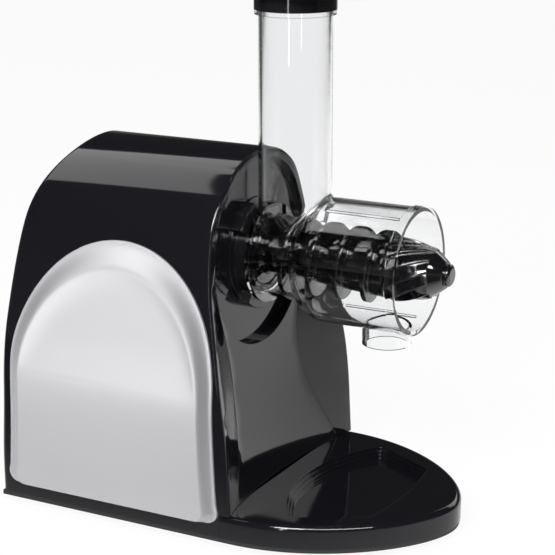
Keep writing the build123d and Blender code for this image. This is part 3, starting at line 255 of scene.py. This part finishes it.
def outline_points():
    """Points round the panel: from the foot's middle up the front leg, over the arch and down."""
    foot_half = ARCH_HALF + LEG_SPREAD
    front = [(FOOT_STEP * k, -LEG_DROP) for k in range(FOOT_POINTS)]
    turns = [math.radians(turn) for turn in range(-90, 1, CORNER_STEP)]
    front += [(foot_half - CORNER + CORNER * math.cos(t),
               -LEG_DROP + CORNER + CORNER * math.sin(t)) for t in turns]
    drops = [(LEG_DROP - CORNER) * (1 - k / LEG_STEPS) for k in range(1, LEG_STEPS)]
    front += [(ARCH_HALF + LEG_SPREAD * (drop / LEG_DROP) ** 2, -drop) for drop in drops]
    arch = [(ARCH_HALF * math.cos(t), ARCH_RISE * math.sin(t))
            for t in (math.pi * k / ARCH_STEPS for k in range(ARCH_STEPS + 1))]
    return front + arch + [(-x, z) for x, z in reversed(front[1:])]


def side_half_width(z):
    """Half of the housing's width at a height from the drum axis, in millimetres."""
    top_y, top_z = CROWN * math.cos(LEAN), CROWN * math.sin(LEAN)
    low_y = SKIRT - BLEND * (1 - math.cos(LEAN))
    low_z = top_z - (low_y - top_y) / math.tan(LEAN)
    foot_z = low_z - BLEND * math.sin(LEAN)
    if z >= low_z:
        return top_y + (top_z - z) * math.tan(LEAN)
    if z >= foot_z:
        return SKIRT - BLEND + math.sqrt(BLEND ** 2 - (z - foot_z) ** 2)
    return SKIRT


print("outline points", len(outline_points()))

# %% [markdown]
# The rings come in three groups: a rounded rim, the band that rises as an S, and the dip under the
# ridge, which is deepest at the top of the arch and gone at the shoulders.

# %% The panel's rings
RIM_RINGS = ((0.0, 0.0, 1.0, 0.0), (0.12, 0.12, 1.3, 0.0), (0.45, 0.45, 1.45, 0.0))
RIM_LEG, RIM_TOP, RIM_HEIGHT = 0.9, 1.1, 1.47       # where the rim ends, millimetres
BAND_LEG, BAND_TOP, BAND_RISE = 9.1, 16.4, 4.5      # width on the legs, at the top, and height
BAND_STEPS = 12
FIELD_DIPS = ((1.5, 0.15), (3.5, 0.55), (7.0, 1.2), (12.0, 1.85), (18.0, 2.25), (27.0, 2.45))
LEG_SHARE = 0.3                                     # the dip's inset, legs against top


def panel_rings():
    """Every ring's inset on the legs, inset at the top, height and dip at the top."""
    rings = [*RIM_RINGS, (RIM_LEG, RIM_TOP, RIM_HEIGHT, 0.0)]
    for k in range(1, BAND_STEPS + 1):
        share = k / BAND_STEPS
        rise = share * share * (3 - 2 * share)
        rings.append((RIM_LEG + BAND_LEG * share, RIM_TOP + BAND_TOP * share,
                      RIM_HEIGHT + BAND_RISE * rise, 0.0))
    leg, top, height = rings[-1][:3]
    for inner, dip in FIELD_DIPS:
        rings.append((leg + LEG_SHARE * inner, top + inner, height, dip))
    return rings


print("rings", len(panel_rings()))

# %% [markdown]
# A circle of edges is drawn out to the outline and capped for the back. It is then extruded ring by
# ring, and each ring shrinks towards the foot, so that the band is wide at the top and narrow on
# the legs. A second cap closes the field. Level cuts across both caps give them points, and every
# point then moves out by the housing's half width at its height, so that the panel leans with the
# housing. Extruding lists the new edges and faces in another order each time the script runs. The
# form is the same, but both lists are sorted by their points, so that the mesh is too.

# %% The panel's mesh
BACK_GAP = 0.02                     # between the panel's back and the housing, millimetres
CUT_STEP, CUT_COUNT = 3.0, 57       # level cuts across the caps


def list_place(part, count):
    """A number of its own for every edge or face of a mesh with count points."""
    first = sorted(vert.index for vert in part.verts)[:3]
    return sum(index * count ** (2 - k) for k, index in enumerate(first))


def panel_mesh(name, side):
    """One panel: side is -1 on the user's side and 1 on the far side."""
    points = outline_points()
    bm = bmesh.new()
    circle = bmesh.ops.create_circle(bm, segments=len(points), radius=1)["verts"]
    for vert, (x, z) in zip(circle, points):
        vert.co = (x, -BACK_GAP, z)
    edges = list(bm.edges)
    caps = bmesh.ops.contextual_create(bm, geom=edges)["faces"]
    wide, tall = 1.0, 1.0
    for leg_inset, top_inset, height, dip in panel_rings():
        made = bmesh.ops.extrude_edge_only(bm, edges=edges)["geom"]
        edges = [e for e in made if isinstance(e, bmesh.types.BMEdge)]
        ring = [v for v in made if isinstance(v, bmesh.types.BMVert)]
        edges = [e for e in edges if all(v in ring for v in e.verts)]
        next_wide = 1 - leg_inset / (ARCH_HALF + LEG_SPREAD)
        next_tall = 1 - top_inset / (ARCH_RISE - SHRINK_Z)
        bmesh.ops.scale(bm, vec=(next_wide / wide, 1, next_tall / tall), verts=ring,
                        space=Matrix.Translation((0, 0, -SHRINK_Z)))
        wide, tall = next_wide, next_tall
        for vert in ring:
            vert.co.y = -height + dip * max(0.0, vert.co.z / ARCH_RISE) ** 0.5
    caps += bmesh.ops.contextual_create(bm, geom=edges)["faces"]
    for k in range(1, CUT_COUNT + 1):
        level = -LEG_DROP + CUT_STEP * k
        cut = [g for face in caps for g in (face, *face.edges, *face.verts)]
        made = bmesh.ops.bisect_plane(bm, geom=list(dict.fromkeys(cut)), plane_co=(0, 0, level),
                                      plane_no=(0, 0, 1))["geom"]
        caps = [g for g in made if isinstance(g, bmesh.types.BMFace)]
    for vert in bm.verts:
        vert.co.y -= side_half_width(vert.co.z + SHOULDER_Z)
    bmesh.ops.scale(bm, vec=(MM, -side * MM, MM), verts=bm.verts)
    shoulders = (rim_x + PANEL_X * MM, 0, axis_z + SHOULDER_Z * MM)
    bmesh.ops.translate(bm, vec=shoulders, verts=bm.verts)
    bmesh.ops.recalc_face_normals(bm, faces=bm.faces)
    bm.verts.index_update()
    for parts in (bm.edges, bm.faces):
        parts.sort(key=lambda part: list_place(part, len(bm.verts)))
    mesh = bpy.data.meshes.new(name)
    bm.to_mesh(mesh)
    bm.free()
    obj = bpy.data.objects.new(name, mesh)
    bpy.context.scene.collection.objects.link(obj)
    return obj


# %% [markdown]
# The near panel is mirrored for the far side. Both ride the housing, which never moves.

# %% The two panels
panels = []
for name, side in (("side_panel_near", -1), ("side_panel_far", 1)):
    panel = panel_mesh(name.replace("side_panel", "silver_panel"), side)
    panels.append(panel)
    wear(panel, panel_silver)
    soften(panel, PANEL_ANGLE)
    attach(panel, "housing")
    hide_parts(name)
    print(panel.name, "faces", len(panel.data.polygons))

# %% [markdown]
# ## Studio
#
# The room is a wide white floor that runs out of sight. Black gloss shows nothing but its
# surroundings, so the room is built around what each surface mirrors.

# %% Helpers for shader trees
def seen_by(tree, *kinds):
    """A socket that is 1 for the named kinds of ray and 0 for the others."""
    path = tree.nodes.new("ShaderNodeLightPath")
    total = path.outputs[kinds[0]]
    for kind in kinds[1:]:
        either = tree.nodes.new("ShaderNodeMath")
        either.operation = "MAXIMUM"
        tree.links.new(total, either.inputs[0])
        tree.links.new(path.outputs[kind], either.inputs[1])
        total = either.outputs[0]
    return total


def fade(tree, vector, direction, near, far, low, high):
    """A smooth change from low to high along a direction."""
    along = tree.nodes.new("ShaderNodeVectorMath")
    along.operation = "DOT_PRODUCT"
    along.inputs[1].default_value = direction
    ramp = tree.nodes.new("ShaderNodeMapRange")
    ramp.interpolation_type = "SMOOTHSTEP"
    ramp.inputs["From Min"].default_value = near
    ramp.inputs["From Max"].default_value = far
    ramp.inputs["To Min"].default_value = low
    ramp.inputs["To Max"].default_value = high
    tree.links.new(vector, along.inputs[0])
    tree.links.new(along.outputs["Value"], ramp.inputs["Value"])
    return ramp.outputs["Result"]


def product(tree, *factors):
    """All the sockets multiplied together."""
    total = factors[0]
    for factor in factors[1:]:
        times = tree.nodes.new("ShaderNodeMath")
        times.operation = "MULTIPLY"
        tree.links.new(total, times.inputs[0])
        tree.links.new(factor, times.inputs[1])
        total = times.outputs[0]
    return total


# %% [markdown]
# For the camera the floor is white paper with a soft shadow. For reflections, and for rays bent
# by the clear plastic, the paper is a strip behind the machine, about as wide as a real roll, with
# a dark room on both sides and in front. Clear walls then show grey edges, and black gloss stays
# black. A ray that only passes through clear plastic still finds white paper in front, so that the
# drum stays clear from the back.

# %% Floor
FLOOR_HALF = 9.0                    # metres
WHITE_SHARE = 0.93                  # how much of the floor's white needs no lamp
VIEW_TURN = math.radians(28.0)      # the paper runs away from the camera, turned this far from Y
FRONT_FADE = (-0.25, 0.02)          # the paper's edges fade between these distances, in metres
RIGHT_FADE = (0.7, 1.9)
LEFT_FADE = (-0.95, -0.35)
ROOM_FRONT, ROOM_SIDE = 0.03, 0.08  # how light the room is off the paper

floor_mesh = bpy.data.meshes.new("studio_floor")
bm = bmesh.new()
bmesh.ops.create_grid(bm, x_segments=1, y_segments=1, size=FLOOR_HALF)
bm.to_mesh(floor_mesh)
bm.free()
floor = bpy.data.objects.new("studio_floor", floor_mesh)
bpy.context.scene.collection.objects.link(floor)

floor_finish = bpy.data.materials.new("floor_white")
floor_finish.use_nodes = True
tree = floor_finish.node_tree
matt = tree.nodes["Principled BSDF"]
matt.inputs["Base Color"].default_value = (0.88, 0.88, 0.88, 1)
matt.inputs["Roughness"].default_value = 0.85
matt.inputs["Specular IOR Level"].default_value = 0.2
white = tree.nodes.new("ShaderNodeEmission")
white.inputs["Color"].default_value = (1, 1, 1, 1)
paper = tree.nodes.new("ShaderNodeMixShader")
share = tree.nodes.new("ShaderNodeMath")
share.operation = "MULTIPLY"
share.inputs[1].default_value = WHITE_SHARE
tree.links.new(seen_by(tree, "Is Camera Ray"), share.inputs[0])
tree.links.new(share.outputs[0], paper.inputs[0])
tree.links.new(matt.outputs[0], paper.inputs[1])
tree.links.new(white.outputs[0], paper.inputs[2])

place = tree.nodes.new("ShaderNodeTexCoord").outputs["Object"]
across = (math.cos(VIEW_TURN), math.sin(VIEW_TURN), 0)
apron = fade(tree, place, (0, 1, 0), *FRONT_FADE, ROOM_FRONT, 1.0)
right_edge = fade(tree, place, across, *RIGHT_FADE, 1.0, ROOM_SIDE)
left_edge = fade(tree, place, across, *LEFT_FADE, ROOM_SIDE, 1.0)
bounces = tree.nodes.new("ShaderNodeLightPath").outputs["Glossy Depth"]
straight = fade(tree, bounces, (1, 0, 0), 0.0, 1.0, 1.0, 0.0)
through = product(tree, seen_by(tree, "Is Transmission Ray"), straight)
front_paper = tree.nodes.new("ShaderNodeMath")
front_paper.operation = "MAXIMUM"
tree.links.new(apron, front_paper.inputs[0])
tree.links.new(through, front_paper.inputs[1])
mirrored = tree.nodes.new("ShaderNodeEmission")
strip = product(tree, front_paper.outputs[0], right_edge, left_edge)
tree.links.new(strip, mirrored.inputs["Strength"])
mixed = tree.nodes.new("ShaderNodeMixShader")
tree.links.new(seen_by(tree, "Is Glossy Ray", "Is Transmission Ray"), mixed.inputs[0])
tree.links.new(paper.outputs[0], mixed.inputs[1])
tree.links.new(mirrored.outputs[0], mixed.inputs[2])
tree.links.new(mixed.outputs[0], tree.nodes["Material Output"].inputs[0])
wear(floor, floor_finish)
print("floor", floor.dimensions[:])

# %% [markdown]
# All lamps are soft boxes. The overhead one draws the band along the crown, the box behind greys
# the platform, the strip in front edges the housing, the key rounds the drum, and the wide flat box
# at the right draws the flights and ribs of the auger. The leaning flank mirrors the space in front
# and to the left, which has to stay dark. The silver panels lean the same way and need light from
# just there. A studio would hold up flags, or join two exposures. Here three lamps are linked to
# the panels alone: one for the top of the arch, one for the field, and one on the floor, unseen by
# the camera, for the foot.

# %% Helpers for lamps
def soft_box(name, place, target, width, height, power):
    """A rectangular lamp at a place, turned towards a target; metres and watts."""
    lamp = bpy.data.lights.new(name, "AREA")
    lamp.shape = "RECTANGLE"
    lamp.size, lamp.size_y = width, height
    lamp.energy = power
    obj = bpy.data.objects.new(name, lamp)
    bpy.context.scene.collection.objects.link(obj)
    turn = (Vector(target) - Vector(place)).to_track_quat("-Z", "Y")
    obj.matrix_world = Matrix.Translation(place) @ turn.to_matrix().to_4x4()
    return obj


def light_only(lamp, objects, keep):
    """Link a lamp to some objects with INCLUDE, or keep it off them with EXCLUDE, as flags do."""
    flagged = bpy.data.collections.new(lamp.name + "_flags")
    for obj in objects:
        flagged.objects.link(obj)
    for entry in flagged.collection_objects:
        entry.light_linking.link_state = keep
    lamp.light_linking.receiver_collection = flagged


# %% Lights
ALL, PANELS, NOT_PANELS = "all", "INCLUDE", "EXCLUDE"
# Name, place, target, width, height, power and what it lights. Where a lamp points straight down
# or up, its target is nudged by a tenth of a millimetre, which fixes how the box is turned.
LAMPS = (
    ("overhead", (-0.86, 0.05, 1.24), (-0.86, 0.0501, 0), 0.9, 1.0, 6.5, NOT_PANELS),
    ("behind", (0.27, 1.15, 0.68), (0.07, 0, 0.02), 0.9, 0.4, 2.0, ALL),
    ("edge_strip", (0.22, -1.5, 0.6), (0, 0, 0.2), 0.06, 1.1, 3, NOT_PANELS),
    ("key", (0.2, -1.14, 1.1), (0.02, -0.09, 0.15), 0.4, 0.5, 8, NOT_PANELS),
    ("top_glow", (-0.5, -0.76, 0.95), (-0.07, -0.09, 0.18), 0.3, 0.3, 3.9, PANELS),
    ("front_glow", (-0.42, -1.2, 0.17), (-0.07, -0.09, 0.1), 0.3, 0.34, 3.3, PANELS),
    ("floor_glow", (-0.3, -0.65, 0.003), (-0.3, -0.6501, 1.0), 0.5, 0.8, 0.75, PANELS),
    ("right_top", (0.5, -0.8, 0.9), (0.08, 0, 0.17), 1.1, 0.2, 13, NOT_PANELS),
)
for *shape, reach in LAMPS:
    lamp = soft_box(*shape)
    if reach != ALL:
        light_only(lamp, panels, reach)
bpy.data.objects["floor_glow"].visible_camera = False
print("lamps", len(LAMPS))

# %% [markdown]
# The room itself is white where it is looked at, middling where it only adds light, and dark
# overhead for reflections, as the ceiling of a studio is.

# %% World
ROOM_FILL = 0.3                     # light on dull surfaces
HORIZON, CEILING = 0.16, 0.025      # what reflections find level with the machine, and above
CEILING_FROM = 0.22                 # the height of a ray's direction where the ceiling begins

world = bpy.data.worlds.new("studio_world")
bpy.context.scene.world = world
world.use_nodes = True
sky = world.node_tree
room = sky.nodes["Background"]
room.inputs["Color"].default_value = (1, 1, 1, 1)
way = sky.nodes.new("ShaderNodeTexCoord")
split = sky.nodes.new("ShaderNodeSeparateXYZ")
ceiling = sky.nodes.new("ShaderNodeMapRange")
ceiling.inputs["From Min"].default_value = 0.0
ceiling.inputs["From Max"].default_value = CEILING_FROM
ceiling.inputs["To Min"].default_value = HORIZON
ceiling.inputs["To Max"].default_value = CEILING
sky.links.new(way.outputs["Generated"], split.inputs[0])
sky.links.new(split.outputs["Z"], ceiling.inputs["Value"])
dull = sky.nodes.new("ShaderNodeMix")
dull.inputs["A"].default_value = ROOM_FILL
sky.links.new(seen_by(sky, "Is Glossy Ray", "Is Transmission Ray"), dull.inputs["Factor"])
sky.links.new(ceiling.outputs["Result"], dull.inputs["B"])
looked = sky.nodes.new("ShaderNodeMix")
looked.inputs["B"].default_value = 1.0
sky.links.new(seen_by(sky, "Is Camera Ray"), looked.inputs["Factor"])
sky.links.new(dull.outputs["Result"], looked.inputs["A"])
sky.links.new(looked.outputs["Result"], room.inputs["Strength"])
print("world nodes", len(sky.nodes))

# %% [markdown]
# ## Camera
#
# A long lens from the user's right, a little above the machine. Its place is given from the rim of
# the hub pocket, which lies on the drum axis.

# %% Camera
FOCAL, SENSOR = 112.56, 36          # millimetres
FROM_RIM = Vector((539.33, -991.29, 297.27))    # millimetres from the rim's middle
TILT, TURN = 74.41, 28.02           # degrees

lens = bpy.data.cameras.new("camera")
lens.sensor_width = SENSOR
lens.lens = FOCAL
lens.clip_end = 20
camera = bpy.data.objects.new("camera", lens)
bpy.context.scene.collection.objects.link(camera)
camera.location = Vector((rim_x, 0, axis_z)) + FROM_RIM * MM
camera.rotation_euler = (math.radians(TILT), 0, math.radians(TURN))
bpy.context.scene.camera = camera
bpy.context.scene.view_settings.view_transform = "Standard"
print("camera", [round(v, 4) for v in camera.location])
